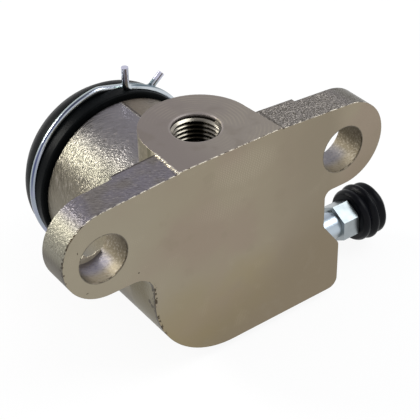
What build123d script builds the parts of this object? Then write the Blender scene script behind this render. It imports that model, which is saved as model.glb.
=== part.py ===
from build123d import *
import math
import os

# Flanged wheel cylinder, in millimetres.
# The origin is midway between the two mounting holes, on the flange's machined face.
# +X runs along the ears towards the bleeder, +Y from the face along the bore, +Z up along the inlet.

# How far a cut, or a body that joins another, runs past the face it meets
overrun = 1.0

# Flange: a cast plate with an ear at each end and a machined front face
hole_spacing = 58.0
hole_diameter = 10.5
flange_thickness = 8.1
spotface_depth = 0.95
spotface_radius = 13.0
ear_radius = 9.6
ear_shift_x = 0.9
ear_rise = 0.7
rim_edge_radius = 0.7
armpit_radius = 4.5
notch_radius = 1.8

# Cylinder: the cast barrel behind the flange and its machined mouth
bore_x = 0.6
bore_z = -17.0
bore_diameter = 25.4
bore_floor = 6.0
barrel_radius = 19.0
barrel_end = 41.6
barrel_edge_radius = 0.9
mouth_step = 1.4
mouth_length = 6.4
mouth_chamfer = 0.8
bead_groove_offset = 2.0
bead_groove_width = 2.2
bead_groove_depth = 0.8
parting_ridge_radius = 0.5
parting_ridge_height = 0.14
parting_ridge_offset = 1.2
mouth_radius = barrel_radius - mouth_step
mouth_end = barrel_end + mouth_length
bead_groove_start = barrel_end + bead_groove_offset

# Inlet: a threaded port in a round boss with a machined top
port_y = 10.7
port_radius = 5.0
port_depth = 10.5
port_chamfer = 0.25
port_drill_angle = 118.0
inlet_passage_radius = 1.5
boss_radius = 11.8
boss_shift_x = 0.4
boss_top = 11.65
boss_front_half_width = 12.35
boss_front_shift_x = 0.65
rim_drop = 0.22
boss_root_radius = 1.2

# Bleeder boss: a squared corner of the flange with a round back
bleeder_y = 10.7
bleeder_drop = 12.4
bleeder_boss_end = 29.05
bleeder_boss_rise = 5.2
bleeder_boss_back = 17.2
bleeder_boss_round = 4.5
bleeder_boss_corner = 2.3
notch_x = 24.6
notch_z = -17.9
bleeder_hole_radius = 4.0
bleeder_hole_depth = 13.0
bleeder_seat_radius = 3.3
bleed_passage_radius = 1.6
bleeder_z = bore_z - bleeder_drop
bleeder_boss_top = bleeder_z + bleeder_boss_rise

# Bleeder screw: cone tip, thread, neck, hexagon and hose nipple, drilled through
screw_clearance = 0.06
seat_gap = 0.05
screw_tip_length = 1.0
screw_thread_length = 12.0
screw_thread_chamfer = 0.5
screw_core_radius = 3.25
screw_neck_length = 7.85
screw_hex_length = 4.5
screw_hex_across_flats = 8.0
screw_hex_turn = -2.2
screw_hex_chamfer_angle = 20.0
nipple_length = 6.6
nipple_root_radius = 2.8
nipple_barb_radius = 3.4
nipple_barb_length = 2.2
nipple_barb_land = 0.4
nipple_tip_radius = 2.5
screw_drill_radius = 1.0
screw_cross_hole_radius = 0.75
screw_hex_start = bleeder_boss_end + screw_neck_length

# Bleeder cap: a rubber cap with three ribs, of which the middle one is the largest
cap_hex_gap = 0.1
cap_clearance = 0.06
cap_wall = 1.75
cap_first_rib_height = 0.95
cap_middle_rib_height = 1.35
cap_last_rib_height = 0.9
cap_rib_round = 1.45
cap_rib_pitch = 2.35
cap_first_rib_inset = 1.15
cap_end_gap = 0.3
cap_nose_wall = 0.85
cap_nose_round = 1.4
cap_roof = 1.3

# Piston: a turned slug with a neck for the boot and a slotted head for the brake shoe
piston_clearance = 0.05
chamber_length = 12.6
piston_shoulder_depth = 3.4
piston_chamfer = 0.5
piston_neck_radius = 7.4
piston_groove_depth = 1.4
piston_groove_reach = 2.4
piston_groove_width = 2.0
piston_head_reach = 9.0
shoe_slot_width = 6.0
shoe_slot_depth = 5.0
piston_radius = bore_diameter / 2 - piston_clearance
piston_start = bore_floor + chamber_length
piston_groove_radius = piston_neck_radius - piston_groove_depth
piston_groove_start = mouth_end + piston_groove_reach
piston_head_end = mouth_end + piston_head_reach

# Cup, expander and spring in the pressure chamber
cup_gap = 0.05
cup_base = 2.4
cup_lip_height = 3.2
cup_lip_wall = 1.5
cup_bevel = 0.6
expander_wall = 0.7
expander_gap = 0.1
expander_rim_height = 1.6
expander_pocket_radius = 5.2
expander_pocket_depth = 1.2
spring_wire_radius = 0.6
spring_mean_radius = 7.2
spring_turns = 2.5
spring_seat_gap = 0.1

# Dust boot: a rubber collar over the mouth, one fold outside it and a lip on the piston's neck
boot_gap = 0.05
boot_wall = 1.3
collar_wall = 2.5
collar_start_gap = 0.1
collar_lip_round = 0.5
collar_end_inset = 1.4
fold_inset = 1.2
fold_reach = 2.7
crown_inset = 3.4
crown_reach = 4.9
valley_gap = 4.6
valley_reach = 1.9
lip_height = 1.4
collar_radius = mouth_radius + collar_wall

# Clip: one wire ring in the collar, whose ends pass each other and turn outwards
clip_wire_radius = 0.8
clip_bite = 0.5
clip_shift_x = 0.4
clip_shift_z = 0.4
clip_sway = 0.9
clip_groove_clearance = 0.05
clip_inset_bend = 5.0
front_inset = 0.7
front_inset_angle = 60.0
front_end_angle = 15.3
front_end_lean = 0.0
front_end_length = 4.0
rear_inset = 1.2
rear_inset_angle = -14.0
rear_end_angle = -31.4
rear_end_lean = 50.0
rear_end_length = 3.3
clip_bend_radius = 1.7
clip_ring_radius = collar_radius + clip_wire_radius - clip_bite
clip_y = bead_groove_start + bead_groove_width / 2


def along_y(outline, start, end):
    # The outline's own x and y become X and Z.
    return extrude(Plane.XZ.offset(-start) * outline, end - start, dir=(0, 1, 0))


def on_bore(profile):
    # The profile's x is the distance from the bore's axis, and its y is Y.
    return revolve(profile, Axis.Y).moved(Location((bore_x, 0, bore_z)))


def on_bleeder(profile):
    # The profile's x is X, and its y is the distance from the bleeder's axis.
    return revolve(profile, Axis.X).moved(Location((0, bleeder_y, bleeder_z)))


def bore_cylinder(radius, start, end):
    return on_bore(Pos((0, start)) * Rectangle(radius, end - start, align=(Align.MIN, Align.MIN)))


def bleeder_cylinder(radius, start, end):
    return on_bleeder(Pos((start, 0)) * Rectangle(end - start, radius, align=(Align.MIN, Align.MIN)))


def corner(sketch, x, y):
    return sketch.vertices().sort_by_distance(Vector(x, y, 0))[0]


def tangent_point(point, centre, radius, side):
    # Where the line from the point touches the circle; side 1 turns to the left of the line to the point.
    dx, dy = point[0] - centre[0], point[1] - centre[1]
    turn = side * math.acos(radius / math.hypot(dx, dy))
    angle = math.atan2(dy, dx) + turn
    return centre[0] + radius * math.cos(angle), centre[1] + radius * math.sin(angle)


def flange_outline():
    left_ear = (ear_shift_x - hole_spacing / 2, ear_rise)
    right_ear = (ear_shift_x + hole_spacing / 2, ear_rise)
    rim_top = boss_top - rim_drop
    underside = ear_rise - ear_radius
    left_top = (boss_front_shift_x - boss_front_half_width, rim_top)
    right_top = (boss_front_shift_x + boss_front_half_width, rim_top)
    barrel_left = bore_x - barrel_radius
    bottom = bore_z - barrel_radius
    ears = Polygon(
        left_top,
        right_top,
        tangent_point(right_top, right_ear, ear_radius, -1),
        (right_ear[0], underside),
        (left_ear[0], underside),
        tangent_point(left_top, left_ear, ear_radius, 1),
        align=None,
    )
    web = Polygon(
        (barrel_left, ear_rise),
        (notch_x, ear_rise),
        (notch_x, notch_z),
        (bleeder_boss_end, bleeder_boss_top),
        (bleeder_boss_end, bottom),
        (bore_x, bottom),
        (bore_x, bore_z),
        (barrel_left, bore_z),
        align=None,
    )
    outline = ears + web + Pos(left_ear) * Circle(ear_radius) + Pos(right_ear) * Circle(ear_radius)
    outline += Pos((bore_x, bore_z)) * Circle(barrel_radius)
    outline = fillet(corner(outline, barrel_left, underside), armpit_radius)
    outline = fillet(corner(outline, notch_x, underside), notch_radius)
    outline = fillet(corner(outline, notch_x, notch_z), notch_radius)
    outline = fillet(corner(outline, bleeder_boss_end, bleeder_boss_top), notch_radius)
    return fillet(corner(outline, bleeder_boss_end, bottom), bleeder_boss_corner)


def flange():
    plate = along_y(flange_outline(), 0, flange_thickness)
    back_edges = plate.faces().sort_by(Axis.Y)[-1].edges()
    plate = fillet(back_edges, rim_edge_radius)
    back = flange_thickness + overrun
    for side in (-1, 1):
        centre = (side * hole_spacing / 2, 0)
        plate -= along_y(Pos(centre) * Circle(spotface_radius), flange_thickness - spotface_depth, back)
        plate -= along_y(Pos(centre) * Circle(hole_diameter / 2), -overrun, back)
    return plate


def port_boss():
    left = boss_front_shift_x - boss_front_half_width
    right = boss_front_shift_x + boss_front_half_width
    plan = Polygon(
        (left, 0),
        (right, 0),
        (boss_shift_x + boss_radius, port_y),
        (boss_shift_x - boss_radius, port_y),
        align=None,
    )
    plan += Pos((boss_shift_x, port_y)) * Circle(boss_radius)
    plan &= Rectangle(4 * boss_radius, port_y + boss_radius, align=(Align.CENTER, Align.MIN))
    return extrude(Plane.XY.offset(bore_z) * plan, boss_top - bore_z, dir=(0, 0, 1))


def bleeder_boss():
    bottom = bore_z - barrel_radius
    section = Polygon(
        (0, bottom),
        (bleeder_boss_back, bottom),
        (bleeder_boss_back, bleeder_boss_top),
        (0, bleeder_boss_top),
        align=None,
    )
    section = fillet(corner(section, bleeder_boss_back, bottom), bleeder_boss_round)
    section = fillet(corner(section, bleeder_boss_back, bleeder_boss_top), bleeder_boss_round)
    block = extrude(Plane.YZ.offset(bore_x) * section, bleeder_boss_end - bore_x, dir=(1, 0, 0))
    return block & along_y(flange_outline(), 0, bleeder_boss_back)


def barrel():
    tube = bore_cylinder(barrel_radius, flange_thickness / 2, barrel_end)
    end_edge = tube.edges().filter_by(GeomType.CIRCLE).sort_by(Axis.Y)[-1]
    return fillet(end_edge, barrel_edge_radius)


def parting_ridge():
    # The line that the two halves of the mould leave along the top of the barrel
    x = bore_x + parting_ridge_offset
    z = bore_z + math.sqrt(barrel_radius**2 - parting_ridge_offset**2) + parting_ridge_height - parting_ridge_radius
    return along_y(Pos((x, z)) * Circle(parting_ridge_radius), port_y, barrel_end - barrel_edge_radius)


def mouth():
    spigot = bore_cylinder(mouth_radius, barrel_end - overrun, mouth_end)
    groove_end = bead_groove_start + bead_groove_width
    ring = bore_cylinder(mouth_radius + overrun, bead_groove_start, groove_end)
    ring -= bore_cylinder(mouth_radius - bead_groove_depth, bead_groove_start, groove_end)
    return spigot - ring


def bore_cut():
    radius = bore_diameter / 2
    cut = bore_cylinder(radius, bore_floor, mouth_end + overrun)
    flare = Polygon(
        (0, mouth_end - mouth_chamfer),
        (radius, mouth_end - mouth_chamfer),
        (radius + mouth_chamfer, mouth_end),
        (0, mouth_end),
        align=None,
    )
    return cut + on_bore(flare)


def inlet_cut():
    drill_tip = port_radius / math.tan(math.radians(port_drill_angle / 2))
    floor = boss_top - port_depth
    profile = Polygon(
        (0, floor - drill_tip),
        (port_radius, floor),
        (port_radius, boss_top - port_chamfer),
        (port_radius + port_chamfer, boss_top),
        (0, boss_top),
        align=None,
    )
    port = revolve(Plane.XZ * profile, Axis.Z).moved(Location((0, port_y, 0)))
    passage = Pos((0, port_y, (boss_top + bore_z) / 2)) * Cylinder(inlet_passage_radius, boss_top - bore_z)
    return port + passage


def bleed_cut():
    floor = bleeder_boss_end - bleeder_hole_depth
    seat_floor = floor - (bleeder_seat_radius - bleed_passage_radius)
    hole = bleeder_cylinder(bleeder_hole_radius, floor, bleeder_boss_end + overrun)
    seat = Polygon(
        (seat_floor, 0),
        (seat_floor, bleed_passage_radius),
        (floor, bleeder_seat_radius),
        (floor, 0),
        align=None,
    )
    return hole + on_bleeder(seat) + bleeder_cylinder(bleed_passage_radius, bore_x, floor)


def housing():
    casting = flange() + barrel() + bleeder_boss()
    boss = port_boss()
    joined = casting + boss
    seam = [
        edge
        for edge in new_edges(casting, boss, combined=joined)
        if edge.center().Y > flange_thickness + overrun and edge.center().Z < bore_z + barrel_radius
    ]
    joined = fillet(seam, boss_root_radius)
    joined += parting_ridge() + mouth()
    return joined - bore_cut() - inlet_cut() - bleed_cut()


def piston():
    shoulder = mouth_end - piston_shoulder_depth
    groove_end = piston_groove_start + piston_groove_width
    slug = bore_cylinder(piston_radius, piston_start, shoulder)
    slug = chamfer(slug.edges().filter_by(GeomType.CIRCLE), piston_chamfer)
    neck = bore_cylinder(piston_neck_radius, shoulder, piston_head_end)
    neck = chamfer(neck.edges().filter_by(GeomType.CIRCLE).sort_by(Axis.Y)[-1], piston_chamfer)
    groove = bore_cylinder(piston_neck_radius + overrun, piston_groove_start, groove_end)
    groove -= bore_cylinder(piston_groove_radius, piston_groove_start, groove_end)
    slot = Pos((bore_x, piston_head_end - shoe_slot_depth / 2, bore_z)) * Box(
        shoe_slot_width, shoe_slot_depth, 3 * piston_neck_radius
    )
    return slug + neck - groove - slot


def piston_cup():
    radius = piston_radius
    back = piston_start - cup_gap
    base = back - cup_base
    lip = base - cup_lip_height
    profile = Polygon(
        (0, back),
        (radius - cup_bevel, back),
        (radius, back - cup_bevel),
        (radius, lip),
        (radius - cup_bevel, lip),
        (radius - cup_lip_wall, base - cup_bevel),
        (radius - cup_lip_wall - cup_bevel, base),
        (0, base),
        align=None,
    )
    return on_bore(profile)


def expander_seat():
    # The Y of the expander's back, against the cup's base
    return piston_start - cup_gap - cup_base - expander_gap


def cup_expander():
    back = expander_seat()
    front = back - expander_wall
    rim_radius = piston_radius - cup_lip_wall - cup_bevel - expander_gap
    rim = back - expander_rim_height
    pocket = expander_pocket_radius
    profile = Polygon(
        (0, back),
        (rim_radius, back),
        (rim_radius, rim),
        (rim_radius - expander_wall, rim),
        (rim_radius - expander_wall, front),
        (pocket, front),
        (pocket, front - expander_pocket_depth),
        (0, front - expander_pocket_depth),
        align=None,
    )
    return on_bore(profile)


def return_spring():
    start = bore_floor + spring_seat_gap + spring_wire_radius
    end = expander_seat() - expander_wall - spring_seat_gap - spring_wire_radius
    rise = end - start
    helix = Helix(rise / spring_turns, rise, spring_mean_radius)
    section = Plane(helix @ 0, z_dir=helix % 0) * Circle(spring_wire_radius)
    coil = sweep(section, path=helix, is_frenet=True)
    return coil.rotate(Axis.X, -90).moved(Location((bore_x, start, bore_z)))


def dust_boot():
    inner = mouth_radius + boot_gap
    front = barrel_end + collar_start_gap
    bead_radius = mouth_radius - bead_groove_depth + boot_gap
    bead_start = bead_groove_start + boot_gap
    bead_end = bead_groove_start + bead_groove_width - boot_gap
    collar_end = mouth_end - collar_end_inset
    fold_radius = collar_radius - fold_inset
    fold_y = mouth_end + fold_reach
    crown_radius = collar_radius - crown_inset
    crown_y = mouth_end + crown_reach
    valley_radius = piston_neck_radius + valley_gap
    valley_y = mouth_end + valley_reach
    lip_inner = piston_groove_radius + boot_gap
    lip_outer = piston_neck_radius + lip_height
    lip_start = piston_groove_start + boot_gap
    lip_end = piston_groove_start + piston_groove_width - boot_gap
    outer_fold = Spline(
        (collar_radius, collar_end),
        (fold_radius, fold_y),
        (crown_radius, crown_y),
        (valley_radius, valley_y + boot_wall / 2),
        (lip_outer, lip_end),
        tangents=((0, 1), (-0.3, 1)),
    )
    inner_fold = Spline(
        (lip_outer, lip_start),
        (valley_radius, valley_y - boot_wall / 2),
        (crown_radius, crown_y - boot_wall),
        (fold_radius - boot_wall, fold_y),
        (inner, mouth_end + boot_gap),
        tangents=((0.3, -1), (0, -1)),
    )
    edges = Curve() + [
        outer_fold,
        Line((lip_outer, lip_end), (lip_inner, lip_end)),
        Line((lip_inner, lip_end), (lip_inner, lip_start)),
        Line((lip_inner, lip_start), (lip_outer, lip_start)),
        inner_fold,
        Polyline(
            (inner, mouth_end + boot_gap),
            (inner, bead_end),
            (bead_radius, bead_end),
            (bead_radius, bead_start),
            (inner, bead_start),
            (inner, front),
            (collar_radius - collar_lip_round, front),
            (collar_radius, front + collar_lip_round),
            (collar_radius, collar_end),
        ),
    ]
    return on_bore(make_face(edges)) - clip_wire(clip_wire_radius + clip_groove_clearance)


def clip_half(wire_radius, direction, inset, inset_angle, end_angle, end_lean, end_length):
    # One half of the ring, from the bottom up and past the top; direction -1 is the front strand.
    # It comes up at the full radius, leans in along a chord, and follows a smaller arc to its turned-out end.
    # Angles are from the top and positive on the half's own side; the lean is the end's, from upright.
    lift = direction * clip_sway / 2
    up = Vector(0, lift, math.sqrt(clip_ring_radius**2 - lift**2)).normalized()
    centre = Vector(bore_x + clip_shift_x, clip_y + lift, bore_z + clip_shift_z)
    ring_plane = Plane(origin=centre, x_dir=(-direction, 0, 0), z_dir=Vector(-direction, 0, 0).cross(up))
    end_radius = clip_ring_radius - inset
    turn_in = math.acos((end_radius - clip_inset_bend) / (clip_ring_radius - clip_inset_bend))
    full_arc = CenterArc((0, 0), clip_ring_radius, -90, 180 - inset_angle - math.degrees(turn_in))
    lean_in = JernArc(full_arc @ 1, full_arc % 1, clip_inset_bend, math.degrees(turn_in))
    end_arc = CenterArc((0, 0), end_radius, 90 - inset_angle, inset_angle - end_angle)
    chord = Line(lean_in @ 1, end_arc @ 0)
    bend = JernArc(end_arc @ 1, end_arc % 1, clip_bend_radius, end_angle + end_lean - 90)
    tail = Line(bend @ 1, (bend @ 1) + (bend % 1) * end_length)
    path = ring_plane * Wire([full_arc.edge(), lean_in.edge(), chord.edge(), end_arc.edge(), bend.edge(), tail.edge()])
    section = Plane(path @ 0, z_dir=path % 0) * Circle(wire_radius)
    return sweep(section, path=path)


def clip_wire(wire_radius):
    front = clip_half(
        wire_radius, -1, front_inset, front_inset_angle, front_end_angle, front_end_lean, front_end_length
    )
    rear = clip_half(wire_radius, 1, rear_inset, rear_inset_angle, rear_end_angle, rear_end_lean, rear_end_length)
    return front + rear


def boot_clip():
    return clip_wire(clip_wire_radius)


def bleeder_screw():
    seat_start = bleeder_boss_end - bleeder_hole_depth - (bleeder_seat_radius - bleed_passage_radius)
    tip = seat_start + seat_gap
    tip_end = bleeder_boss_end - bleeder_hole_depth
    thread_radius = bleeder_hole_radius - screw_clearance
    thread_start = tip_end + screw_tip_length
    thread_end = thread_start + screw_thread_length
    hex_end = screw_hex_start + screw_hex_length
    tip_radius = bleed_passage_radius
    cone_radius = bleeder_seat_radius - seat_gap
    body = Polygon(
        (tip, 0),
        (tip, tip_radius - seat_gap),
        (tip_end, cone_radius - seat_gap),
        (thread_start, cone_radius - seat_gap),
        (thread_start, thread_radius - screw_thread_chamfer),
        (thread_start + screw_thread_chamfer, thread_radius),
        (thread_end - screw_thread_chamfer, thread_radius),
        (thread_end, screw_core_radius),
        (screw_hex_start + overrun, screw_core_radius),
        (screw_hex_start + overrun, 0),
        align=None,
    )
    barb_end = hex_end + nipple_length
    barb_start = barb_end - nipple_barb_length
    nipple = Polygon(
        (hex_end - overrun, 0),
        (hex_end - overrun, nipple_root_radius),
        (barb_start, nipple_root_radius),
        (barb_start, nipple_barb_radius),
        (barb_start + nipple_barb_land, nipple_barb_radius),
        (barb_end, nipple_tip_radius),
        (barb_end, 0),
        align=None,
    )
    corner_radius = screw_hex_across_flats / math.sqrt(3)
    outline = Pos((bleeder_y, bleeder_z)) * RegularPolygon(corner_radius, 6, rotation=90 + screw_hex_turn)
    prism = extrude(Plane.YZ.offset(screw_hex_start) * outline, screw_hex_length, dir=(1, 0, 0))
    slope = math.tan(math.radians(screw_hex_chamfer_angle))
    face_radius = screw_hex_across_flats / 2
    fall = (corner_radius - face_radius) * slope
    envelope = Polygon(
        (screw_hex_start, 0),
        (screw_hex_start, corner_radius + overrun),
        (hex_end - fall - overrun * slope, corner_radius + overrun),
        (hex_end, face_radius),
        (hex_end, 0),
        align=None,
    )
    hexagon = prism & on_bleeder(envelope)
    screw = on_bleeder(body) + hexagon + on_bleeder(nipple)
    cross_x = tip_end + screw_cross_hole_radius / 2
    drill = bleeder_cylinder(screw_drill_radius, cross_x, barb_end + overrun)
    cross = Pos((cross_x, bleeder_y, bleeder_z)) * Cylinder(screw_cross_hole_radius, 3 * bleeder_hole_radius)
    return screw - drill - cross


def bleeder_cap():
    start = screw_hex_start + screw_hex_length + cap_hex_gap
    first_rib = start + cap_first_rib_inset
    last_rib = first_rib + 2 * cap_rib_pitch
    hollow_end = screw_hex_start + screw_hex_length + nipple_length + cap_end_gap
    nose_end = hollow_end + cap_roof
    hollow_radius = nipple_barb_radius + cap_clearance
    wall_radius = hollow_radius + cap_wall
    nose_radius = hollow_radius + cap_nose_wall
    outside = Pos((start, 0)) * Rectangle(last_rib - start, wall_radius, align=(Align.MIN, Align.MIN))
    outside += Pos((last_rib, 0)) * Rectangle(nose_end - last_rib, nose_radius, align=(Align.MIN, Align.MIN))
    outside = fillet(corner(outside, nose_end, nose_radius), cap_nose_round)
    for place, height in enumerate((cap_first_rib_height, cap_middle_rib_height, cap_last_rib_height)):
        centre = (first_rib + place * cap_rib_pitch, wall_radius + height - cap_rib_round)
        outside += Pos(centre) * Circle(cap_rib_round)
    outside &= Pos((start, 0)) * Rectangle(nose_end - start, 2 * wall_radius, align=(Align.MIN, Align.MIN))
    hollow = bleeder_cylinder(hollow_radius, start - overrun, hollow_end)
    return on_bleeder(outside) - hollow


nodes = {
    "housing": housing,
    "piston": piston,
    "piston_cup": piston_cup,
    "cup_expander": cup_expander,
    "return_spring": return_spring,
    "dust_boot": dust_boot,
    "boot_clip": boot_clip,
    "bleeder_screw": bleeder_screw,
    "bleeder_cap": bleeder_cap,
}

os.makedirs("parts", exist_ok=True)
for name, make in nodes.items():
    export_step(make(), f"parts/{name}.step")
    print("wrote", name)
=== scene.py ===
import math
from types import SimpleNamespace

import bmesh
import bpy
from mathutils import Matrix, Vector
from mathutils.bvhtree import BVHTree
from mathutils.geometry import interpolate_bezier


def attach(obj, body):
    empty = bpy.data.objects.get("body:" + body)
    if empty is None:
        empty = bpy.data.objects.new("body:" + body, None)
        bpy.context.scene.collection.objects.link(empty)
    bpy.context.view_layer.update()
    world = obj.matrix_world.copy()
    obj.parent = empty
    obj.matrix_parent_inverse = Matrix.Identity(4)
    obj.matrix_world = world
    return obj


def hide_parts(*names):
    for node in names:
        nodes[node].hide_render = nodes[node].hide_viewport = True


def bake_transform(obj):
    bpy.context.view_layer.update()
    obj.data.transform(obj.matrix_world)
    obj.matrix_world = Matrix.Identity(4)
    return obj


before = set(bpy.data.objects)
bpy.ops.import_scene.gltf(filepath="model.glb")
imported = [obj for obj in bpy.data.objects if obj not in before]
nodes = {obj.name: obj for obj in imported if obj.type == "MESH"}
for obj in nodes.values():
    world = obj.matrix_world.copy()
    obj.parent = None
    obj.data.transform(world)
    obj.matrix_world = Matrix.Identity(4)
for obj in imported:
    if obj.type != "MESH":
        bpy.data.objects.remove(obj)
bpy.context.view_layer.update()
print("frame loaded,", len(nodes), "nodes")

mm = 0.001
# a point on each axis, in millimetres
boreLine = (0.6, 0, -17.0)           # the bore's axis runs along Y
bleederLine = (0, 10.7, -29.4)       # the bleeder's along X
portLine = (0, 10.7, 0)              # the inlet's along Z
bore, bleeder, port = [Vector(line) * mm for line in (boreLine, bleederLine, portLine)]
# what counts in a distance from an axis along Y or Z
roundY = (1, 0, 1)
roundZ = (1, 1, 0)


# colours are written as a paint picker shows them
def tone(red, green, blue):
    def linear(value):
        value /= 255
        return value / 12.92 if value <= 0.04045 else ((value + 0.055) / 1.055) ** 2.4
    return (linear(red), linear(green), linear(blue), 1)


# a socket of a material that takes part in sums
class Signal:
    def __init__(self, finish, socket):
        self.finish = finish
        self.socket = socket

    def maths(self, operation, *terms):
        return self.finish.node("ShaderNodeMath", {"operation": operation}, dict(enumerate(terms)))

    def __add__(self, other):
        return self.maths("ADD", self, other)

    def __radd__(self, other):
        return self.maths("ADD", other, self)

    def __sub__(self, other):
        return self.maths("SUBTRACT", self, other)

    def __rsub__(self, other):
        return self.maths("SUBTRACT", other, self)

    def __mul__(self, other):
        return self.maths("MULTIPLY", self, other)

    def __rmul__(self, other):
        return self.maths("MULTIPLY", other, self)

    def __pow__(self, other):
        return self.maths("POWER", self, other)

    def __rpow__(self, other):
        return self.maths("POWER", other, self)

    def absolute(self):
        return self.maths("ABSOLUTE", self)

    def larger(self, other):
        return self.maths("MAXIMUM", self, other)

    def smaller(self, other):
        return self.maths("MINIMUM", self, other)

    # 0 at low, 1 at high, soft in between; low may be the larger one
    def step(self, low, high):
        return self.finish.node(
            "ShaderNodeMapRange",
            {"interpolation_type": "SMOOTHSTEP"},
            {"Value": self, "From Min": low, "From Max": high, "To Min": 0.0, "To Max": 1.0},
        )


# a material or the world, and the tools that its nodes are made with
class Finish:
    def __init__(self, owner, look=None):
        owner.use_nodes = True
        self.owner = owner
        self.look = look
        self.tree = owner.node_tree
        self.tree.nodes.clear()

    # places on the piece in millimetres, and which way its surface faces
    def measure(self):
        place = self.node("ShaderNodeTexCoord", {}, {}, "Object")
        self.place = self.node("ShaderNodeVectorMath", {"operation": "SCALE"}, {0: place, "Scale": 1 / mm})
        self.x, self.y, self.z = self.parts(self.place)
        self.toX, self.toY, self.toZ = self.parts(self.node("ShaderNodeTexCoord", {}, {}, "Normal"))
        return self

    def node(self, kind, settings, sockets, output=0):
        made = self.tree.nodes.new(kind)
        for name, value in settings.items():
            setattr(made, name, value)
        for name, value in sockets.items():
            if isinstance(value, Signal):
                self.tree.links.new(value.socket, made.inputs[name])
            else:
                made.inputs[name].default_value = value
        return Signal(self, made.outputs[output])

    def parts(self, vector):
        made = self.node("ShaderNodeSeparateXYZ", {}, {0: vector}).socket.node
        return [Signal(self, socket) for socket in made.outputs]

    def mix(self, share, first, second):
        settings = {"data_type": "RGBA", "clamp_factor": True}
        return self.node("ShaderNodeMix", settings, {0: share, 6: first, 7: second}, 2)

    # a colour of the piece's look, each part paler by so many steps
    def tint(self, name, paler=0):
        return tone(*[part + paler for part in self.look[name]])

    # lays one of the look's colours over another
    def paint(self, share, under, name):
        return self.mix(share, under, self.tint(name))

    # stretch is how much longer a grain is along each axis, once the axes are turned about Z
    def grain(self, size, stretch=(1, 1, 1), detail=2.0, rough=0.5, shift=0.0, turn=0.0, place=None):
        held = {"Vector": place or self.place, "Location": (-shift,) * 3, "Scale": stretch}
        held["Rotation"] = (0, 0, math.radians(turn))
        where = self.node("ShaderNodeMapping", {"vector_type": "TEXTURE"}, held)
        sockets = {"Vector": where, "Scale": 1 / size, "Detail": detail, "Roughness": rough}
        return self.node("ShaderNodeTexNoise", {}, sockets)

    # millimetres from a point, with each axis counted by its share
    def distance(self, centre, shares):
        away = self.node("ShaderNodeVectorMath", {"operation": "SUBTRACT"}, {0: self.place, 1: centre})
        held = self.node("ShaderNodeVectorMath", {"operation": "MULTIPLY"}, {0: away, 1: shares})
        return self.node("ShaderNodeVectorMath", {"operation": "LENGTH"}, {0: held}, "Value")

    def wave(self, place):
        return self.node("ShaderNodeMath", {"operation": "SINE"}, {0: place})

    # height is in millimetres
    def relief(self, height, under=None):
        sockets = {"Height": height, "Distance": mm, "Strength": 1.0}
        if under:
            sockets["Normal"] = under
        return self.node("ShaderNodeBump", {}, sockets)

    def surface(self, **sockets):
        named = {name.replace("_", " "): value for name, value in sockets.items()}
        return self.close(self.node("ShaderNodeBsdfPrincipled", {}, named), "ShaderNodeOutputMaterial")

    def close(self, skin, kind):
        ending = self.tree.nodes.new(kind)
        self.tree.links.new(skin.socket, ending.inputs["Surface"])
        return self.owner


def newFinish(name, look):
    return Finish(bpy.data.materials.new(name), look).measure()


def dress(node, material):
    mesh = nodes[node].data
    mesh.materials.clear()
    mesh.materials.append(material)


def addPiece(name, mesh, material, crease=35):
    data = bpy.data.meshes.new(name)
    mesh.to_mesh(data)
    mesh.free()
    for face in data.polygons:
        face.use_smooth = True
    data.set_sharp_from_angle(angle=math.radians(crease))
    data.materials.append(material)
    piece = bpy.data.objects.new(name, data)
    bpy.context.scene.collection.objects.link(piece)
    return piece


# an outline of (radius, along) points: straight runs to an end, and curves by two handles and an end,
# each after its number of steps
def trace(start, *moves):
    points = [Vector(start)]
    for steps, *path in moves:
        last = points[-1]
        if len(path) == 1:
            end = Vector(path[0])
            points += [last.lerp(end, (step + 1) / steps) for step in range(steps)]
        else:
            out, back, end = [Vector(place).to_3d() for place in path]
            curve = interpolate_bezier(last.to_3d(), out, back, end, steps + 1)
            points += [place.to_2d() for place in curve[1:]]
    return points


# new vertices with an edge from each to the next
def addRing(mesh, places, closed=True):
    ring = [mesh.verts.new(place) for place in places]
    for pair in zip(ring, ring[1:] + ring[:1] if closed else ring[1:]):
        mesh.edges.new(pair)
    return ring


# spins an outline about the axis through the centre
def lathe(outline, centre, axis, steps, closed):
    along = Vector(axis)
    across = Vector((0, 0, 1)) if along.z == 0 else Vector((1, 0, 0))
    mesh = bmesh.new()
    places = [centre + (across * radius + along * reach) * mm for radius, reach in outline]
    ring = addRing(mesh, places, closed)
    bmesh.ops.spin(
        mesh, geom=ring + list(mesh.edges), cent=centre, axis=along, angle=2 * math.pi, steps=steps,
        use_merge=True,
    )
    bmesh.ops.remove_doubles(mesh, verts=mesh.verts, dist=0.001 * mm)
    bmesh.ops.recalc_face_normals(mesh, faces=mesh.faces)
    return mesh


# spins a closed section along a part of a turn or a helix, and fills its two ends
def sweepRing(mesh, ring, **turn):
    bmesh.ops.spin(mesh, geom=ring + list(mesh.edges), use_merge=False, **turn)
    bmesh.ops.holes_fill(mesh, edges=[edge for edge in mesh.edges if edge.is_boundary], sides=len(ring))
    bmesh.ops.recalc_face_normals(mesh, faces=mesh.faces)


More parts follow.
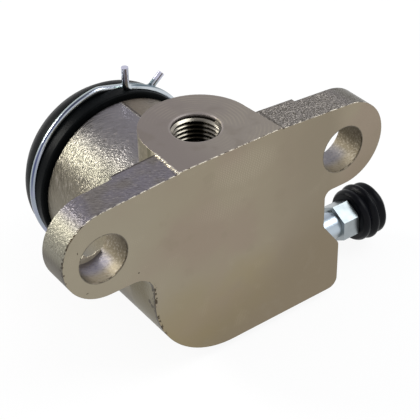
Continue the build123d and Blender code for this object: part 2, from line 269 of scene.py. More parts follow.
housingLook = {
    # the milled face in front
    "front": (148, 138, 119), "frontGreen": (152, 144, 126), "frontPink": (147, 134, 118),
    "frontOlive": (142, 129, 98), "frontFar": (137, 127, 109), "frontLow": (131, 119, 99),
    "hatch": (174, 165, 146),
    # the milled top of the inlet boss, and the painted shadow and paler painted lit strip on the short flat
    # beside it
    "top": (138, 129, 123), "topPale": (150, 142, 132), "flank": (100, 94, 72), "flankPale": (158, 150, 128),
    # the casting's skin, above, at the sides and below, much of it painted light and shade: a cooler tint
    # facing up, darker sides, ends and underside, painted pits and glints
    "cast": (129, 126, 113), "paintedSkyTint": (130, 126, 129), "castBrown": (118, 108, 95),
    "castSideShade": (114, 108, 95), "root": (131, 122, 101), "under": (84, 77, 62), "side": (94, 87, 68),
    "sidePale": (114, 108, 92), "ledge": (126, 121, 128), "ledgeBrown": (125, 119, 116),
    "rim": (118, 112, 108), "end": (94, 89, 79), "paintedPitShade": (84, 78, 68), "paintedGlint": (186, 178, 168),
    # the mounting holes and the inlet, in painted light and shade
    "drilled": (113, 107, 94), "drilledLow": (158, 154, 164), "drilledFar": (148, 145, 149),
    "drilledFront": (178, 167, 146), "drilledRight": (124, 115, 98),
    "port": (38, 34, 30), "portDeep": (34, 31, 26), "portRim": (150, 142, 138),
    # dark lines, and painted highlights along edges
    "dark": (56, 47, 36), "paintedEdgeHighlight": (238, 230, 212),
    # soft limits: where a mask is 0 and where it is 1, in millimetres or as a share of facing that way
    "limits": {
        "facesFront": (-0.9, -0.97), "facesBack": (0.9, 0.97), "facesUp": (0.9, 0.97),
        "frontFace": (0.2, 0.1), "topFace": (11.5, 11.6), "hole": (5.45, 5.35), "spotRadius": (13.1, 12.9),
        "spotDepth": (8.0, 7.6), "mouth": (41.55, 41.65), "port": (5.5, 5.35), "bore": (13.0, 12.8),
        "barrel": (8.5, 10.0),
    },
    "holes": 29.0,                   # how far each mounting hole is from the middle
    "lay": -36.0,                    # how the wrinkles lie, in degrees about Z
    "ring": (-12.0, 24.0, -3.0),     # the point behind the ear round which the barrel's wrinkles bend
    "ringWay": (0.755, 0.656),       # the way round the barrel there, across and up
    "ringPitch": 6.5,                # the radius at which the bent wrinkles have their full length
    "height": 0.36, "waveHeight": 0.25, "arcHeight": 0.004, "millHeight": 0.002,
    "edge": 0.2,                     # how round the sharp edges look
    "partingLine": 1.8, "rightLine": 13.25, "stepLine": -11.7,
    # small knocks on the milled face: across, up, half width, half height
    "nicks": [
        (-37.6, 5.0, 0.25, 0.16), (-37.35, 3.5, 0.2, 0.3), (-37.6, 2.2, 0.25, 0.16),
        (-37.5, 0.3, 0.2, 0.25), (-37.3, -1.7, 0.22, 0.16), (-33.1, -6.2, 0.3, 0.12),
        (-34.3, 3.8, 0.12, 0.3), (-19.5, -10.6, 0.22, 0.3), (-21.7, -7.0, 0.22, 0.2),
    ],
    # one short cut beside the armpit: two places on the side, with half the length and height of each
    "cut": [((-18.4, 2.1, -17.3), (0.45, 0.5)), ((-18.4, 1.4, -18.0), (0.4, 0.5))],
}


# where each kind of surface lies on the housing, as masks
def housingAreas(make):
    limit = housingLook["limits"]
    area = SimpleNamespace()
    area.fromPort = make.distance(portLine, roundZ)
    area.fromBore = make.distance(boreLine, roundY)
    holeLeft, holeRight = [make.distance((side * housingLook["holes"], 0, 0), roundY) for side in (-1, 1)]
    fromHole = holeLeft.smaller(holeRight)
    area.front = make.toY.step(*limit["facesFront"]) * make.y.step(*limit["frontFace"])
    area.top = make.toZ.step(*limit["facesUp"]) * make.z.step(*limit["topFace"])
    area.drilled = fromHole.step(*limit["hole"])
    area.spotface = make.toY.step(*limit["facesBack"]) * make.y.step(*limit["spotDepth"])
    area.spotface = area.spotface * fromHole.step(*limit["spotRadius"])
    area.mouthCut = make.y.step(*limit["mouth"])
    area.portCut = area.fromPort.step(*limit["port"]) * make.z.step(0.0, 1.0)
    boreCut = area.fromBore.step(*limit["bore"]) * make.y.step(4, 5)
    smooth = boreCut
    for cut in (area.front, area.top, area.spotface, area.mouthCut, area.portCut):
        smooth = smooth.larger(cut)
    # the barrel is smoother on the right of the parting line and close to its left, low down and below
    area.behind = make.y.step(*limit["barrel"])
    calmTop = make.x.step(-12.0, 1.0) * make.toZ.step(0.3, 0.6) * area.behind * 0.7
    calmLow = make.toZ.step(0.42, 0.22) * 0.65 + make.toZ.step(0.1, -0.2) * 0.3
    area.ledge = make.toZ.step(0.8, 0.95) * (1 - area.behind) * make.x.step(-4.0, -8.0)
    area.leftEnd = make.toX.step(-0.2, -0.5) * (1 - area.behind) * make.z.step(-8.0, -5.0)
    calm = calmTop.larger(calmLow).larger(area.ledge * 0.25).larger(area.leftEnd * 0.3)
    area.cast = (1 - smooth) * (1 - area.drilled * 0.75) * (1 - calm)
    rightRim = make.x.step(4.0, 8.0) * make.x.step(33, 28) * make.z.step(-6, -3) * make.toZ.step(0.3, 0.7)
    area.rim = rightRim * (1 - area.behind) * area.cast
    # hardly metallic: the left armpit's side, and the casting where it faces down
    area.armpit = (1 - area.behind) * make.toX.step(-0.3, -0.7) * make.z.step(-4.0, -7.0)
    below = make.toZ.step(0.0, -0.35) * make.y.step(3.0, 5.0)
    area.dull = area.armpit.larger(below * (1 - area.spotface) * (1 - area.drilled))
    return area


# the noises and waves that both the relief and the colours are made of
def housingPatterns(make, area):
    look = housingLook
    pattern = SimpleNamespace()
    # wrinkled skin of the casting, which lies aslant
    coarse = make.grain(0.42, (2.6, 1, 1.5), detail=2.5, rough=0.62, turn=look["lay"])
    fine = make.grain(0.34, (2.1, 1, 1.3), detail=2.0, rough=0.6, shift=7.0, turn=look["lay"])
    # on the barrel's left the wrinkles bend round a point behind the ear
    (across, along, up), (wayAcross, wayUp) = look["ring"], look["ringWay"]
    ahead = make.y - along
    aside = (make.x - across) * wayAcross + (make.z - up) * wayUp
    bend = make.node("ShaderNodeMath", {"operation": "ARCTAN2"}, {0: aside, 1: ahead})
    reach = (ahead * ahead + aside * aside) ** 0.5
    ring = make.node("ShaderNodeCombineXYZ", {}, {0: reach, 1: bend * look["ringPitch"], 2: 0.4})
    bent = make.y.step(22.0, 27.0) * make.x.step(2.0, -2.0)
    coarseBent = make.grain(0.4, (1, 2.6, 1), detail=2.5, rough=0.62, place=ring)
    fineBent = make.grain(0.34, (1, 2.1, 1), detail=2.0, rough=0.6, shift=7.0, place=ring)
    pattern.coarse = coarse * (1 - bent) + coarseBent * bent
    pattern.fine = fine * (1 - bent) + fineBent * bent
    pattern.wave = make.grain(6.0, detail=1.0, shift=3.0)       # soft waves of the mould
    pattern.speckle = make.grain(0.3, (1.3, 1, 1), detail=2.5, rough=0.65, shift=17.0)
    pattern.wobble = make.grain(3.0, detail=1.0)
    pattern.patch = make.grain(14.0, detail=2.0, shift=11.0)
    pattern.spot = make.grain(5.0, detail=3.0, shift=23.0)
    pattern.chip = make.grain(0.9, detail=2.0, shift=5.0)
    pattern.worn = make.grain(1.3, detail=3.0, rough=0.7, shift=13.0)
    # cutter marks: arcs on the top round the inlet, and long shallow ones on the face
    pattern.arcs = make.wave(area.fromPort * 8.0 + pattern.wobble * 3.0)
    pattern.mills = make.wave(make.distance((-70, 0, -90), roundY) * 13.0 + pattern.wobble)
    return pattern


# one relief for the casting's skin and the cutter marks, over edges that look rounded
def housingRelief(make, area, pattern):
    look = housingLook
    skin = (pattern.coarse * 0.6 + pattern.fine * 0.4) * (1 - area.rim) + pattern.speckle * area.rim
    height = skin * area.cast * look["height"] + pattern.wave * area.cast * look["waveHeight"]
    height = height + pattern.arcs * area.top * pattern.patch.step(0.45, 0.65) * look["arcHeight"]
    height = height + pattern.mills * area.front * pattern.patch.step(0.5, 0.6) * look["millHeight"]
    rounded = make.node("ShaderNodeBevel", {"samples": 4}, {"Radius": look["edge"] * mm})
    return make.relief(height, rounded)


def frontColour(make, pattern):
    patch, spot, wobble = pattern.patch, pattern.spot, pattern.wobble
    colour = make.mix(patch.step(0.38, 0.62), make.tint("front"), make.tint("frontPink"))
    colour = make.paint((make.x + patch * 24).step(8, -22), colour, "frontGreen")
    colour = make.paint((make.z + patch * 20).step(-4, -22), colour, "frontOlive")
    colour = make.paint((make.x + patch * 10).step(6, 30) * make.x.step(31, 25), colour, "frontFar")
    colour = make.paint((make.x * 0.6 - make.z + patch * 8).step(22, 44), colour, "frontLow")
    # fine crossed hatching that the cutter left in patches
    leftwards = make.wave((make.x - make.z) * 7.0 + wobble * 5.0)
    weave = make.wave((make.x + make.z) * 9.0 + wobble * 7.0) * leftwards
    nearTop = make.distance((3.5, 0, 6.5), (1 / 11, 0, 1 / 5)).step(1.0, 0.4)
    nearLeft = make.distance((-1.5, 0, -0.5), (1 / 9, 0, 1 / 4)).step(1.0, 0.4)
    hatch = (nearTop * 0.8 + nearLeft * 0.45 + spot.step(0.58, 0.72) * 0.3) * weave.step(0.1, 0.8)
    colour = make.paint(hatch, colour, "hatch")
    colour = make.paint(spot.step(0.42, 0.3) * 0.3, colour, "frontFar")
    for across, up, wide, high in housingLook["nicks"]:
        nick = make.distance((across, 0, up), (1 / wide, 0, 1 / high)).step(1.1, 0.7)
        colour = make.paint(nick * 0.8, colour, "dark")
    return colour


def castColour(make, area, pattern):
    behind, cast, rim = area.behind, area.cast, area.rim
    coarse, fine, speckle = pattern.coarse, pattern.fine, pattern.speckle
    # painted reflection of the sky: surfaces that face up are cooler
    colour = make.mix(make.toZ.step(0.7, 1.0), make.tint("cast"), make.tint("paintedSkyTint"))
    # the barrel is browner right of the parting line; its left side has painted shade, and painted light
    # makes it paler at its root
    colour = make.paint(make.x.step(1.6, 2.0) * make.x.step(17, 8) * behind, colour, "castBrown")
    colour = make.paint(make.toX.step(-0.7, -0.9) * behind, colour, "castSideShade")
    colour = make.paint(make.y.step(31, 28) * make.toX.step(-0.85, -0.95) * behind, colour, "root")
    ledgeTone = make.mix(pattern.wave.step(0.42, 0.62), make.tint("ledge"), make.tint("ledgeBrown"))
    colour = make.mix(area.ledge, colour, ledgeTone)
    # painted shade in the grain's pits and painted glints on its bumps
    colour = make.paint(coarse.step(0.46, 0.3) * cast * 0.45, colour, "paintedPitShade")
    colour = make.paint(fine.step(0.46, 0.34) * cast * 0.4, colour, "paintedPitShade")
    colour = make.paint(fine.step(0.56, 0.68) * cast * 0.4, colour, "paintedGlint")
    # painted shade on the flange's sides that face sideways or down, and on the right ear's end
    ending = make.toZ.step(0.3, 0.0).larger(make.x.step(28, 33))
    colour = make.paint(ending * (1 - behind), colour, "end")
    # painted shade where the barrel faces down
    colour = make.paint(make.toZ.step(0.1, -0.35) * behind, colour, "under")
    # painted shade in the left armpit, with paler painted light near the face
    nearFace = make.y.step(4.5, 1.0) * make.z.step(-19, -15)
    colour = make.mix(area.armpit, colour, make.mix(nearFace, make.tint("side"), make.tint("sidePale")))
    # the right ear's rim has its own tone and a finer, sharper speckle of painted shade and painted glints
    colour = make.paint(rim, colour, "rim")
    colour = make.paint(speckle.step(0.5, 0.4) * rim * 0.95, colour, "paintedPitShade")
    return make.paint(speckle.step(0.53, 0.64) * rim * 0.9, colour, "paintedGlint")


def topColour(make, pattern):
    patch, spot = pattern.patch, pattern.spot
    paler = (make.x - make.y * 0.6 + patch * 16).step(-6, 14)
    colour = make.mix(paler, make.tint("top"), make.tint("topPale"))
    turned = pattern.arcs.step(-0.4, 0.9) * (make.x + make.y * 0.3).step(-4, 8) * spot.step(0.4, 0.6)
    colour = make.paint(turned * 0.3, colour, "hatch")
    return make.paint(spot.step(0.44, 0.3) * 0.25, colour, "castBrown")


# painted light and shade in each mounting hole: the floor is cool at the back and brown in front, the walls
# that face left browner, with painted glints and pits of shade
def holeColour(make, area, pattern):
    drilled, fine = area.drilled, pattern.fine
    floor = make.mix(make.x.step(-5, 5), make.tint("drilledLow"), make.tint("drilledFar"))
    floor = make.paint(make.y.step(4.2, 1.6), floor, "drilledFront")
    colour = make.paint(drilled * make.toX.step(-0.55, -0.9), make.tint("drilled"), "drilledRight")
    colour = make.mix(drilled * make.toZ.step(0.6, 0.95), colour, floor)
    colour = make.paint(drilled * fine.step(0.52, 0.66) * 0.35, colour, "paintedGlint")
    return make.paint(drilled * fine.step(0.46, 0.34) * 0.3, colour, "paintedPitShade")


# painted shade inside the inlet, a little darker further down; its rim at the top is paler
def portColour(make):
    colour = make.mix(make.z.step(10.6, 8.0), make.tint("port"), make.tint("portDeep"))
    return make.paint(make.z.step(10.9, 11.2), colour, "portRim")


# the short flat of the inlet boss, between its round back and the flange: painted shadow on it, with a paler
# painted lit strip along its middle
def addFlank(make, colour):
    flank = make.toX.step(-0.6, -0.8) * make.x.step(-14, -13) * make.y.step(10.9, 10.7)
    flank = flank * make.z.step(4.0, 6.0)
    middle = make.y.step(7.2, 7.9) * make.y.step(9.9, 9.0)
    return make.mix(flank, colour, make.mix(middle, make.tint("flank"), make.tint("flankPale")))


# dark lines, one of them a painted shadow, and the marks of knocks
def addLines(make, area, pattern, colour):
    look = housingLook
    front, drilled, chip = area.front, area.drilled, pattern.chip
    # where the mould's halves met, along the barrel's top
    parting = (make.x - look["partingLine"]).absolute().step(0.34, 0.12)
    parting = parting * make.y.step(22.0, 22.6) * make.toZ.step(0.3, 0.6)
    # the broken line where the face was milled off the casting
    chipped = make.y.step(0.6, 0.25) * chip.step(0.42, 0.5)
    chipped = chipped.larger(make.y.step(1.2, 0.8) * chip.step(0.5, 0.55) * make.toZ.step(0.5, 0.2))
    chipped = chipped * (1 - front) * (1 - drilled) * make.toX.step(-0.35, -0.6)
    # a painted shadow along the flange's back edge by the ledge
    backLine = make.y.step(7.6, 7.85) * make.y.step(8.3, 8.1)
    backLine = backLine * make.toZ.step(0.5, 0.8) * make.x.step(-11.6, -11.9)
    # the boss's right edge, where it stands above the ear
    rightLine = (make.x - look["rightLine"]).absolute().step(0.3, 0.12)
    rightLine = rightLine * make.z.step(11.2, 11.35) * make.y.step(9.5, 8.5)
    # a thin line round the front edge of each hole, low and on the right
    lowRight = (make.toZ - make.toX).step(0.5, 0.9)
    holeLine = drilled * make.y.step(0.5, 0.2) * lowRight * chip.step(0.38, 0.46)
    # knocks along the face's edge in the left armpit, and the short cut beside them
    onSide = make.y.step(0.9, 0.4) * make.toX.step(-0.6, -0.9)
    knocked = (area.fromBore.step(18.4, 18.7) * front).larger(onSide)
    knocked = knocked * chip.step(0.47, 0.41) * make.x.step(-15.5, -17) * make.z.step(-11.2, -12.0)
    for place, (along, up) in look["cut"]:
        cut = make.distance(place, (0.3, 1 / along, 1 / up)).step(1.15, 0.85)
        knocked = knocked.larger(cut * (1 - front))
    lines = parting * 0.7
    for line in (chipped, backLine * 0.7, rightLine * 0.6, holeLine * 0.7, knocked * 0.9):
        lines = lines.larger(line)
    return make.paint(lines, colour, "dark")


# painted highlights along edges, broken by the grain, with dark flecks: the boss's left step and the face's
# top edge
def addEdgeHighlights(make, area, pattern, colour):
    worn = pattern.worn
    fromStep = (make.x - housingLook["stepLine"] - make.y * 0.03).absolute().step(0.42, 0.2)
    step = fromStep * make.z.step(11.3, 11.45) * make.y.step(8.6, 7.6) * pattern.fine.step(0.42, 0.5)
    edgeLine = make.y.step(0.34, 0.16) * (1 - area.front) * (1 - area.drilled) * make.toZ.step(0.75, 0.9)
    colour = make.paint(edgeLine * worn.step(0.46, 0.42) * 0.7, colour, "dark")
    return make.paint((step * 0.75).larger(edgeLine * worn.step(0.48, 0.54) * 0.9), colour, "paintedEdgeHighlight")


def housingFinish():
    make = newFinish("champagnePlatedIron", housingLook)
    area = housingAreas(make)
    pattern = housingPatterns(make, area)
    colour = make.mix(area.front, castColour(make, area, pattern), frontColour(make, pattern))
    colour = make.mix(area.top, colour, topColour(make, pattern))
    cuts = area.spotface.larger(area.mouthCut).larger(area.drilled)
    colour = make.mix(cuts, colour, holeColour(make, area, pattern))
    colour = make.mix(area.portCut, colour, portColour(make))
    colour = addFlank(make, colour)
    colour = addLines(make, area, pattern, colour)
    colour = addEdgeHighlights(make, area, pattern, colour)
    roughness = 0.34 + pattern.patch * 0.08 - area.cast * 0.08
    roughness = roughness + area.drilled * 0.12 + area.portCut * 0.2 + area.leftEnd * 0.1
    return make.surface(
        Base_Color=colour, Metallic=0.95 - area.dull * 0.7, Roughness=roughness,
        Normal=housingRelief(make, area, pattern), Specular_IOR_Level=0.1,
    )


# rubber with a fine grain, and clouds where it has bloomed paler
def rubberFinish(name, look):
    make = newFinish(name, look)
    speck = make.grain(look["grain"], detail=2.0, rough=0.6)
    cloud = make.grain(5.0, detail=2.0, shift=4.0)
    colour = make.mix(cloud.step(0.4, 0.75) * 0.6, make.tint("rubber"), make.tint("rubber", 9))
    normal = make.relief(speck * 0.02 + cloud * 0.05)
    return make.surface(
        Base_Color=colour, Roughness=look["roughness"] + (cloud - 0.5) * 0.15, Normal=normal,
        Specular_IOR_Level=look["gloss"],
    )


wireLook = {
    # pale and lilac are the wire's own colours; bright, green, teal, the tip colour and the dark blue are
    # painted reflections and highlights
    "pale": (150, 158, 168), "bright": (204, 212, 216), "paintedDark": (50, 60, 104), "green": (158, 184, 168),
    "lilac": (150, 150, 176), "paintedTealReflection": (62, 88, 98), "tip": (214, 214, 230),
    "ring": (1.0, 0, -16.6),         # the middle of the wire's ring
    "turnedOut": (21.3, 22.2),       # how far from it the two tips begin
}


# bright zinc wire whose colours are painted reflections: a dark blue line along its front, pale lilac inside
# it and green outside
def wireFinish():
    make = newFinish("brightZincWire", wireLook)
    film = make.grain(7.0, detail=2.0, shift=2.0)
    line = make.grain(0.12, detail=1.0)
    turn = (film - 0.5) * 0.5 - make.toY
    colour = make.mix(film.step(0.4, 0.6) * 0.7, make.tint("pale"), make.tint("lilac"))
    # painted highlight on the ring's upper part, and a painted green reflection on the side that faces back
    colour = make.paint(make.z.step(-9, -2) * 0.8, colour, "bright")
    colour = make.paint(turn.step(0.1, -0.3) * 0.5, colour, "green")
    tip = make.distance(wireLook["ring"], roundY).step(*wireLook["turnedOut"])
    # painted reflections on the right: darker teal where the ring faces up, the tips pale with darker teal
    # on their right sides
    colour = make.paint(make.x.step(5, 8) * make.toZ.step(0.5, 0.8) * 0.85, colour, "paintedTealReflection")
    colour = make.paint(tip, colour, "tip")
    colour = make.paint(tip * make.toX.step(0.1, 0.6) * 0.85, colour, "paintedTealReflection")
    # the painted dark blue reflection along the front of the ring's lower left
    blue = turn.step(0.1, 0.32) * turn.step(0.8, 0.6)
    colour = make.paint(blue * make.z.step(-19, -9) * make.x.step(4, -8) * 0.85, colour, "paintedDark")
    normal = make.relief(line * 0.004)
    return make.surface(Base_Color=colour, Metallic=1.0, Roughness=0.13 + film * 0.08, Normal=normal)


# metal with a haze, and fine lines that scratch stretches along an axis
def zincFinish(name, look):
    make = newFinish(name, look)
    haze = make.grain(2.2, detail=3.0, rough=0.6)
    line = make.grain(0.12, look["scratch"], detail=1.0)
    colour = make.mix(haze.step(0.35, 0.7) * 0.4, make.tint("bright"), make.tint("bright", -22))
    # painted highlight: the neck under the hex is paler where it faces up
    if "neck" in look:
        colour = make.paint(make.x.step(36.8, 36.6) * make.toZ.step(-0.3, 0.3), colour, "neck")
    normal = make.relief(line * 0.006 + haze * 0.01)
    roughness = look["roughness"] + (haze - 0.5) * 0.12
    return make.surface(Base_Color=colour, Metallic=look["metal"], Roughness=roughness, Normal=normal)


# metal with the fine rings of a lathe, round the axis through the centre
def turnedFinish(name, look, centre, shares):
    make = newFinish(name, look)
    wobble = make.grain(1.2, detail=2.0)
    turn = make.wave(make.distance(centre, shares) * 12.0 + wobble * 2.0)
    lineUp = make.wave(make.y * 14.0 + wobble)
    colour = make.mix(wobble.step(0.35, 0.7) * 0.4, make.tint("bright"), make.tint("bright", -24))
    if "paintedDark" in look:
        # painted shade: darker downwards, at the rim, and along a band that crosses the inlet
        band = (make.x * 0.16 - (make.y - centre[1]) * 0.12 + 0.06).absolute().step(0.5, 0.26)
        band = band * make.z.step(10.5, 9.9)
        shade = (make.z.step(10.7, 7.4) * 0.35).larger(make.z.step(10.7, 11.0) * 0.8).larger(band)
        colour = make.paint(shade, colour, "paintedDark")
    normal = make.relief((turn + lineUp) * 0.002)
    roughness = look["roughness"] + (wobble - 0.5) * 0.1
    return make.surface(Base_Color=colour, Metallic=1.0, Roughness=roughness, Normal=normal)


screwLook = {
    # neck is the colour of the painted highlight on the neck
    "bright": (156, 163, 166), "neck": (182, 194, 204), "roughness": 0.3, "metal": 1.0,
    "scratch": (1, 12, 12),
}
pistonLook = {"bright": (182, 182, 180), "roughness": 0.3}
expanderLook = {"bright": (170, 168, 160), "roughness": 0.34}

dress("housing", housingFinish())
dress("boot_clip", wireFinish())
dress("bleeder_screw", zincFinish("brightZincScrew", screwLook))
dress("piston", turnedFinish("turnedPiston", pistonLook, boreLine, roundY))
dress("cup_expander", turnedFinish("pressedExpander", expanderLook, boreLine, roundY))
print("carried-over nodes dressed")


bootShape = {
    "front": 41.7, "outer": 20.1, "inner": 17.65, "collarEnd": 46.6,
    "bead": 16.85, "beadFrom": 43.65, "beadTo": 45.75, "steps": 240,
    "press": 0.04,                   # how far under the wire its groove lies
    "pressTurns": 3, "soften": 0.35,
    "rubber": (8, 10, 11), "roughness": 0.36, "grain": 0.25, "gloss": 0.035,
}


# the wire presses its own groove into the collar, which is smoothed between the turns
def pressWire(mesh):
    shape = bootShape
    outer, inner = shape["outer"], shape["inner"]
    wire = bmesh.new()
    wire.from_mesh(nodes["boot_clip"].data)
    tree = BVHTree.FromBMesh(wire)
    collar = [vert for vert in mesh.verts if (vert.co - bore).xz.length > (outer - 0.02) * mm]
    for turn in range(shape["pressTurns"]):
        if turn:
            bmesh.ops.smooth_vert(
                mesh, verts=collar, factor=shape["soften"],
                use_axis_x=True, use_axis_y=False, use_axis_z=True,
            )
        for vert in collar:
            middle = Vector((bore.x, vert.co.y, bore.z))
            outward = vert.co - middle
            way = outward.normalized()
            hit = tree.ray_cast(middle + way * inner * mm, way, 4 * mm)[0]
            if hit:
                reach = (hit - middle).length - shape["press"] * mm
                if reach < outward.length:
                    vert.co = middle + way * reach
    wire.free()


def dustBoot():
    shape = bootShape
    front, outer, inner = shape["front"], shape["outer"], shape["inner"]
    outline = trace(
        # the collar's front and outside
        (inner, front),
        (5, (outer - 0.5, front)),
        (5, (outer - 0.2, front), (outer, front + 0.2), (outer, front + 0.5)),
        (24, (outer, shape["collarEnd"])),
        # over the shoulder and down the fold
        (12, (20.1, 48.2), (19.7, 49.5), (18.9, 50.7)),
        (9, (18.2, 51.75), (17.7, 52.9), (16.7, 52.9)),
        (12, (15.2, 52.9), (13.6, 50.6), (12.0, 50.55)),
        (8, (10.8, 50.5), (9.6, 52.1), (8.8, 52.3)),
        # the lip in the piston's neck
        (3, (6.05, 52.3)),
        (3, (6.05, 50.5)),
        (3, (8.8, 50.5)),
        # back along the fold's inside
        (6, (9.8, 50.2), (10.8, 49.3), (12.0, 49.25)),
        (8, (13.6, 49.2), (15.0, 51.6), (16.4, 51.6)),
        (6, (17.0, 51.6), (17.6, 50.9), (17.65, 50.2)),
        # the collar's inside, with the bead that grips the mouth
        (4, (inner, 48.05)),
        (4, (inner, shape["beadTo"])),
        (2, (shape["bead"], shape["beadTo"])),
        (4, (shape["bead"], shape["beadFrom"])),
        (2, (inner, shape["beadFrom"])),
        (3, (inner, front + 0.1)),
    )
    mesh = lathe(outline, bore, (0, 1, 0), shape["steps"], True)
    pressWire(mesh)
    boot = addPiece("dustBoot", mesh, rubberFinish("bootRubber", shape), 50)
    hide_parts("dust_boot")
    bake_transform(boot)
    return boot


capShape = {
    "front": 41.5, "frontRadius": 5.66, "hollow": 3.46, "hollowEnd": 48.3, "nose": 49.6, "steps": 128,
    "rib": 42.65, "pitch": 2.35, "ribs": (6.16, 6.56, 6.11), "valley": 5.72,
    "rubber": (10, 11, 15), "roughness": 0.3, "grain": 0.2, "gloss": 0.09,
}


def bleederCap():
    shape = capShape
    front, radius, hollow = shape["front"], shape["frontRadius"], shape["hollow"]
    hollowEnd, valley, nose = shape["hollowEnd"], shape["valley"], shape["nose"]
    moves = [
        (3, (hollow - 0.4, hollowEnd)),
        (2, (hollow, hollowEnd - 0.4)),
        (6, (hollow, front + 0.3)),
        (2, (hollow + 0.2, front)),
        (5, (radius - 0.3, front)),
        (3, (radius - 0.1, front), (radius, front + 0.1), (radius + 0.06, front + 0.2)),
    ]
    last = len(shape["ribs"]) - 1
    for place, crest in enumerate(shape["ribs"]):
        middle = shape["rib"] + place * shape["pitch"]
        end = middle + shape["pitch"] / 2
        rise = 0.5 if place else 0.35
        moves.append((8, (crest - 0.25, middle - 0.75), (crest, middle - rise), (crest, middle)))
        if place < last:
            moves.append((8, (crest, middle + 0.5), (valley + 0.05, end - 0.35), (valley, end)))
    # from the last rib round to the blunt nose
    moves.append((9, (crest, middle + 0.75), (5.05, middle + 0.95), (4.75, middle + 1.25)))
    moves.append((8, (4.4, nose - 0.3), (3.6, nose), (2.6, nose)))
    moves.append((3, (0, nose)))
    mesh = lathe(trace((0, hollowEnd), *moves), bleeder, (1, 0, 0), shape["steps"], False)
    cap = addPiece("bleederCap", mesh, rubberFinish("capRubber", shape), 50)
    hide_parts("bleeder_cap")
    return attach(cap, "cap")


threadShape = {
    "major": 5.03, "minor": 4.46, "pitch": 1.0, "top": 11.42, "turns": 9, "steps": 48,
    "root": 0.5, "crest": 0.09,      # half widths as shares of the pitch
    "sunk": 0.12,                    # how far its back lies inside the wall
    # the dark colour is the thread's painted shade
    "bright": (166, 160, 148), "paintedDark": (44, 40, 33), "roughness": 0.26,
}


def inletThread():
    shape = threadShape
    major, minor, pitch = shape["major"], shape["minor"], shape["pitch"]
    root, crest, back = shape["root"], shape["crest"], major + shape["sunk"]
    middle = shape["top"] - pitch / 2
    section = [(major, root), (minor, crest), (minor, -crest), (major, -root), (back, -root), (back, root)]
    mesh = bmesh.new()
    ring = addRing(mesh, [port + Vector((radius, 0, middle + up * pitch)) * mm for radius, up in section])
    sweepRing(
        mesh, ring, cent=port, axis=(0, 0, -1), dvec=(0, 0, -pitch * mm / shape["steps"]),
        angle=2 * math.pi * shape["turns"], steps=shape["steps"] * shape["turns"],
    )
    piece = addPiece("inletThread", mesh, turnedFinish("cutThread", shape, portLine, roundZ), 30)
    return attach(piece, "cylinder")


burrShape = {
    "outer": 5.3, "inner": 4.0, "back": 7.1, "thick": 0.2, "curl": 0.25, "steps": 36, "parts": 4,
    "from": 234, "sweep": 78,        # degrees round the hole
    "flake": 0.7, "flakeAt": 0.36, "flakeWide": 0.15,
    "bright": (214, 204, 182), "roughness": 0.5, "metal": 0.2, "scratch": (1, 1, 1),
}


# a lip of torn metal that the drill left at the back of the left hole
def drillBurr():
    shape = burrShape
    centre = Vector((-housingLook["holes"], 0, 0)) * mm
    outer, inner, parts = shape["outer"], shape["inner"], shape["parts"]
    back, front = shape["back"], shape["back"] - shape["thick"]
    first, sweep = math.radians(shape["from"]), math.radians(shape["sweep"])
    way = Vector((math.cos(first), 0, math.sin(first)))
    section = [(outer, back), (outer, front)]
    section += [(outer + (inner - outer) * part / parts, front) for part in range(1, parts + 1)]
    section += [(outer + (inner - outer) * part / parts, back) for part in range(parts, 0, -1)]
    mesh = bmesh.new()
    ring = addRing(mesh, [centre + (way * radius + Vector((0, along, 0))) * mm for radius, along in section])
    sweepRing(mesh, ring, cent=centre, axis=(0, -1, 0), angle=sweep, steps=shape["steps"])
    # its edge is ragged, with one wide flake, and it curls towards the front where it is widest
    for vert in mesh.verts:
        away = vert.co - centre
        radius = away.xz.length / mm
        share = (math.atan2(away.z, away.x) % (2 * math.pi) - first) / sweep
        taper = math.sin(math.pi * min(1, max(0, share))) ** 0.35
        ragged = taper * (0.84 + 0.1 * math.sin(share * 23) + 0.06 * math.sin(share * 61))
        flake = shape["flake"] * math.exp(-(((share - shape["flakeAt"]) / shape["flakeWide"]) ** 2))
        held = outer - (outer - radius) * (ragged + flake)
        curl = shape["curl"] * min(1.0, (outer - held) / (outer - inner)) ** 2
        vert.co.x = centre.x + away.x * held / radius
        vert.co.z = centre.z + away.z * held / radius
        vert.co.y -= curl * mm
    bmesh.ops.remove_doubles(mesh, verts=mesh.verts, dist=0.01 * mm)
    bmesh.ops.recalc_face_normals(mesh, faces=mesh.faces)
    burr = addPiece("drillBurr", mesh, zincFinish("tornMetal", shape), 60)
    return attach(burr, "cylinder")


springShape = {
    "wire": 0.6, "sides": 14, "radius": 7.2, "from": 6.7, "to": 14.65, "turns": 2.5, "steps": 90,
    "bright": (150, 150, 148), "roughness": 0.3, "metal": 1.0, "scratch": (1, 1, 1),
}


def returnSpring():
    shape = springShape
    start = bore + Vector((shape["radius"], shape["from"], 0)) * mm
    rise = (shape["to"] - shape["from"]) / shape["steps"] * mm
    mesh = bmesh.new()
    made = bmesh.ops.create_circle(
        mesh, segments=shape["sides"], radius=shape["wire"] * mm, matrix=Matrix.Translation(start),
    )
    sweepRing(
        mesh, made["verts"], cent=bore, axis=(0, 1, 0), dvec=(0, rise, 0),
        angle=2 * math.pi * shape["turns"], steps=shape["steps"],
    )
    spring = addPiece("returnSpring", mesh, zincFinish("springSteel", shape), 60)
    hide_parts("return_spring")
    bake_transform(spring)
    return spring


cupShape = {
    "radius": 12.65, "back": 18.55, "base": 16.15, "lip": 12.95, "wall": 1.5, "steps": 96,
    "rubber": (26, 26, 26), "roughness": 0.5, "grain": 0.2, "gloss": 0.035,
}


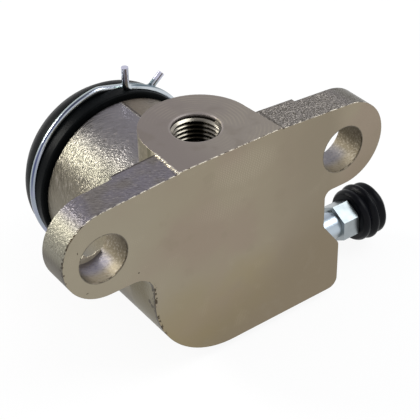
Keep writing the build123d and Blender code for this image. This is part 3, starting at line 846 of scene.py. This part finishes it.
def pistonCup():
    shape = cupShape
    radius, back, base, lip = shape["radius"], shape["back"], shape["base"], shape["lip"]
    inside = radius - shape["wall"]
    outline = trace(
        (0, back),
        (4, (radius - 0.6, back)),
        (4, (radius - 0.2, back), (radius, back - 0.2), (radius, back - 0.6)),
        (6, (radius, lip + 0.6)),
        (5, (radius, lip + 0.2), (radius - 0.3, lip), (radius - 0.6, lip)),
        (5, (inside + 0.4, lip), (inside, lip + 0.7), (inside, lip + 1.4)),
        (4, (inside, base - 0.6)),
        (4, (inside, base - 0.2), (inside - 0.2, base), (inside - 0.6, base)),
        (4, (0, base)),
    )
    mesh = lathe(outline, bore, (0, 1, 0), shape["steps"], False)
    cup = addPiece("pistonCup", mesh, rubberFinish("cupRubber", shape), 50)
    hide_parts("piston_cup")
    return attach(cup, "slug")


dustBoot()
bleederCap()
inletThread()
drillBurr()
returnSpring()
pistonCup()
print("soft pieces, thread, burr and spring made")


stageLook = {
    "floor": -37.9,                  # its height in millimetres
    "size": 3.0,                     # half its width in metres
    "white": 0.97, "glow": 0.9,
}


# it looks white to the camera and in reflections, and keeps some of the object's shadow
def floorFinish():
    make = Finish(bpy.data.materials.new("paleFloor"))
    seen = make.node("ShaderNodeLightPath", {}, {}, "Is Camera Ray")
    for ray in ("Is Glossy Ray", "Is Transmission Ray"):
        seen = seen.larger(make.node("ShaderNodeLightPath", {}, {}, ray))
    dull = make.node("ShaderNodeBsdfDiffuse", {}, {"Color": (stageLook["white"],) * 3 + (1,)})
    glow = make.node("ShaderNodeEmission", {}, {"Color": (1, 1, 1, 1), "Strength": 1.0})
    skin = make.node("ShaderNodeMixShader", {}, {0: seen * stageLook["glow"], 1: dull, 2: glow})
    return make.close(skin, "ShaderNodeOutputMaterial")


def layFloor():
    mesh = bmesh.new()
    bmesh.ops.create_grid(mesh, x_segments=1, y_segments=1, size=stageLook["size"])
    bmesh.ops.translate(mesh, verts=mesh.verts, vec=(0, 0, stageLook["floor"] * mm))
    data = bpy.data.meshes.new("floor")
    mesh.to_mesh(data)
    mesh.free()
    data.materials.append(floorFinish())
    floor = bpy.data.objects.new("floor", data)
    bpy.context.scene.collection.objects.link(floor)


lampPlan = {
    "target": (0.003, 0.02, -0.012), "away": 0.6,
    "lamps": {
        "keyBackLeft": {
            "way": (-0.53, 0.72, 0.45), "power": 2.15, "wide": 0.22, "high": 0.18,
            "colour": (1.0, 0.99, 0.93),
        },
        "boxAboveRight": {
            "way": (0.47, -0.34, 0.81), "power": 1.6, "wide": 0.36, "high": 0.4,
            "colour": (0.97, 1.0, 1.0),
        },
    },
}


def hangLamps():
    target = Vector(lampPlan["target"])
    for name, plan in lampPlan["lamps"].items():
        lamp = bpy.data.lights.new(name, "AREA")
        lamp.energy = plan["power"]
        lamp.shape = "RECTANGLE"
        lamp.size = plan["wide"]
        lamp.size_y = plan["high"]
        lamp.color = plan["colour"]
        way = Vector(plan["way"]).normalized()
        holder = bpy.data.objects.new(name, lamp)
        holder.location = target + way * lampPlan["away"]
        holder.rotation_euler = way.to_track_quat("Z", "Y").to_euler()
        bpy.context.scene.collection.objects.link(holder)


# white round the horizon, where the views look, and a softer cool grey overhead
worldLook = {
    "low": (1.0, 1.0, 1.0, 1), "high": (0.76, 0.76, 0.80, 1), "over": (0.4, 0.4, 0.42, 1),
    "highFrom": 0.2, "highTo": 0.45, "overFrom": 0.7, "overTo": 0.9,
}


def lightWorld():
    look = worldLook
    make = Finish(bpy.data.worlds.new("studio"))
    up = make.parts(make.node("ShaderNodeTexCoord", {}, {}, "Generated"))[2]
    colour = make.mix(up.step(look["highFrom"], look["highTo"]), look["low"], look["high"])
    colour = make.mix(up.step(look["overFrom"], look["overTo"]), colour, look["over"])
    sky = make.node("ShaderNodeBackground", {}, {"Color": colour, "Strength": 1.0})
    bpy.context.scene.world = make.close(sky, "ShaderNodeOutputWorld")


cameraPlan = {
    "place": (-0.1189036, -0.1592474, 0.1462220), "azimuth": -35.6207, "elevation": 36.7202, "roll": 1.4446,
    "lens": 109.1302, "sensor": 36, "near": 0.01, "far": 20,
}


def setCamera():
    plan = cameraPlan
    data = bpy.data.cameras.new("photoCamera")
    data.lens = plan["lens"]
    data.sensor_width = plan["sensor"]
    data.clip_start = plan["near"]
    data.clip_end = plan["far"]
    camera = bpy.data.objects.new("photoCamera", data)
    turn = Matrix.Rotation(math.radians(plan["azimuth"]), 4, "Z")
    tilt = Matrix.Rotation(math.radians(90 - plan["elevation"]), 4, "X")
    roll = Matrix.Rotation(math.radians(-plan["roll"]), 4, "Z")
    camera.matrix_world = Matrix.Translation(plan["place"]) @ turn @ tilt @ roll
    bpy.context.scene.collection.objects.link(camera)
    bpy.context.scene.camera = camera


layFloor()
hangLamps()
lightWorld()
setCamera()
bpy.context.scene.view_settings.view_transform = "Standard"
print("stage, lamps and camera set")
